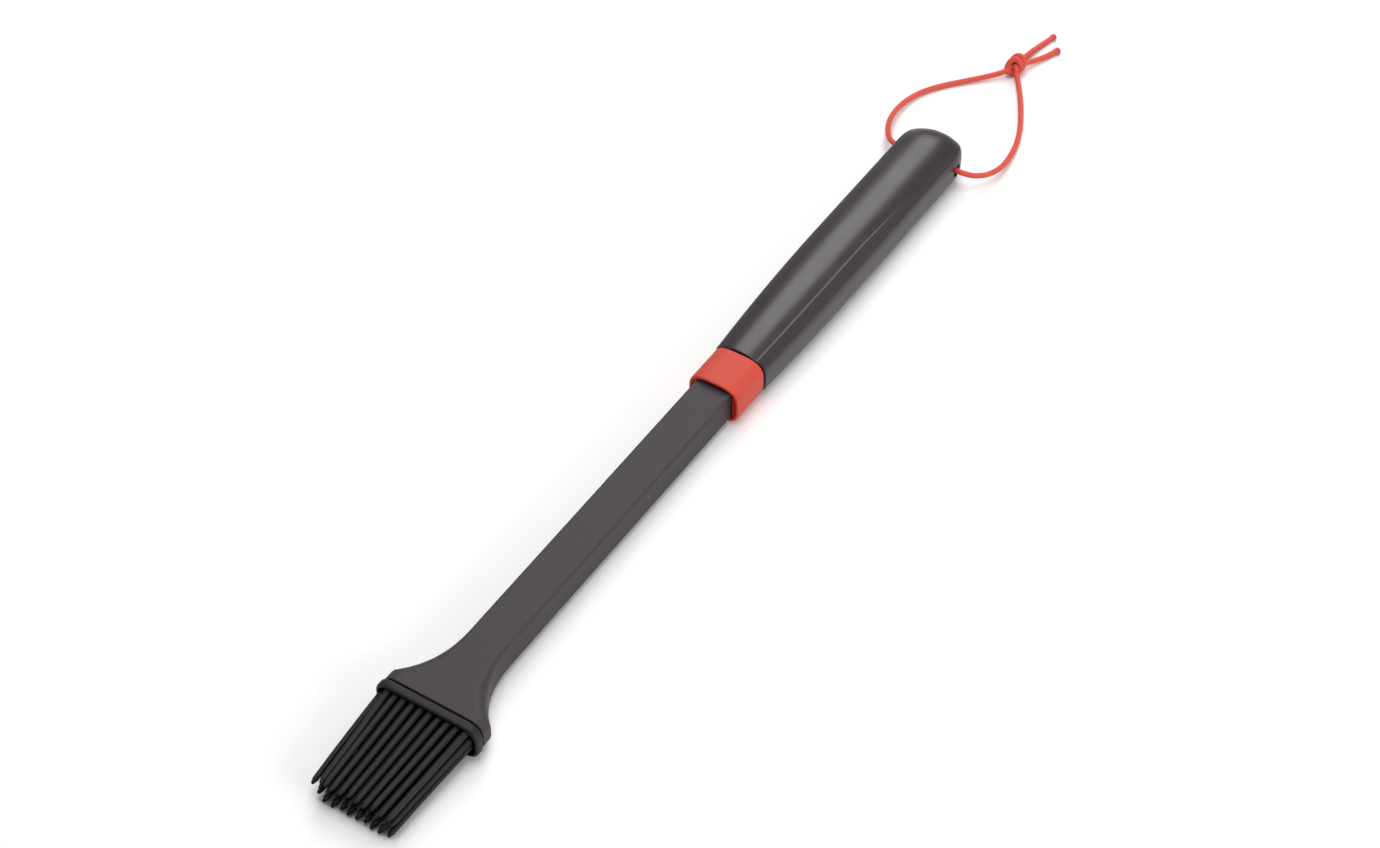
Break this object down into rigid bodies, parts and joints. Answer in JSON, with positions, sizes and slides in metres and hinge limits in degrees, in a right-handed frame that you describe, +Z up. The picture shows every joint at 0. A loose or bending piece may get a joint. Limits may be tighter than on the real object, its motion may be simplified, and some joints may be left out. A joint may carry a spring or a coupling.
{
  "type": "pastry brush",
  "caption": "Long-handled basting brush: silicone bristles, flared neck and flat shaft, coloured collar, domed grip and a knotted hanging cord.",
  "frame": {"origin": "on the plane the brush lies on, under the middle of the brush's bounding box without its cord", "axes": "+X along the handle from the bristles towards the grip, +Z up out of the flat upper face, the brush lying on z = 0"},
  "size_m": [0.5711, 0.0654, 0.023],
  "materials": {
    "handle_plastic": "satin black moulded plastic with a fine texture on the shaft's flat faces",
    "collar_plastic": "smooth satin red",
    "silicone": "matt black silicone",
    "cord": "red braided cord"
  },
  "bodies": {
    "handle": {"shaft": "handle_plastic", "collar": "collar_plastic", "grip": "handle_plastic"},
    "head": {"head_base": "silicone"},
    "bristles_1": {"bristle_row_1": "silicone"},
    "bristles_2": {"bristle_row_2": "silicone"},
    "bristles_3": {"bristle_row_3": "silicone"},
    "bristles_4": {"bristle_row_4": "silicone"},
    "hanging_loop": {"cord_left": "cord", "cord_right": "cord", "knot": "cord", "tail_long": "cord", "tail_short": "cord", "tail_end_long": "cord", "tail_end_short": "cord"}
  },
  "joints": [
    {"name": "head_pull", "type": "slide", "parent": "handle", "child": "head", "axis": [-1, 0, 0], "range_m": [0, 0.03]},
    {"name": "bristle_bend", "type": "hinge", "parent": "head", "child": "bristles_1", "pos_m": [-0.1811, 0, 0.01503], "axis": [0, 1, 0], "range_deg": [-30, 30], "stiffness_Nm_per_rad": 0.04},
    {"name": "bristle_bend_2", "type": "hinge", "parent": "head", "child": "bristles_2", "pos_m": [-0.1811, 0, 0.01141], "axis": [0, 1, 0], "range_deg": [-30, 30], "stiffness_Nm_per_rad": 0.04},
    {"name": "bristle_bend_3", "type": "hinge", "parent": "head", "child": "bristles_3", "pos_m": [-0.1811, 0, 0.00779], "axis": [0, 1, 0], "range_deg": [-30, 30], "stiffness_Nm_per_rad": 0.04},
    {"name": "bristle_bend_4", "type": "hinge", "parent": "head", "child": "bristles_4", "pos_m": [-0.1811, 0, 0.00417], "axis": [0, 1, 0], "range_deg": [-30, 30], "stiffness_Nm_per_rad": 0.04},
    {"name": "loop_swing", "type": "hinge", "parent": "handle", "child": "hanging_loop", "pos_m": [0.2165, 0, 0.0106], "axis": [0, -1, 0], "range_deg": [0, 150]}
  ],
  "couplings": [
    {"joint": "bristle_bend_2", "follows": "bristle_bend", "ratio": 1},
    {"joint": "bristle_bend_3", "follows": "bristle_bend", "ratio": 1},
    {"joint": "bristle_bend_4", "follows": "bristle_bend", "ratio": 1}
  ]
}
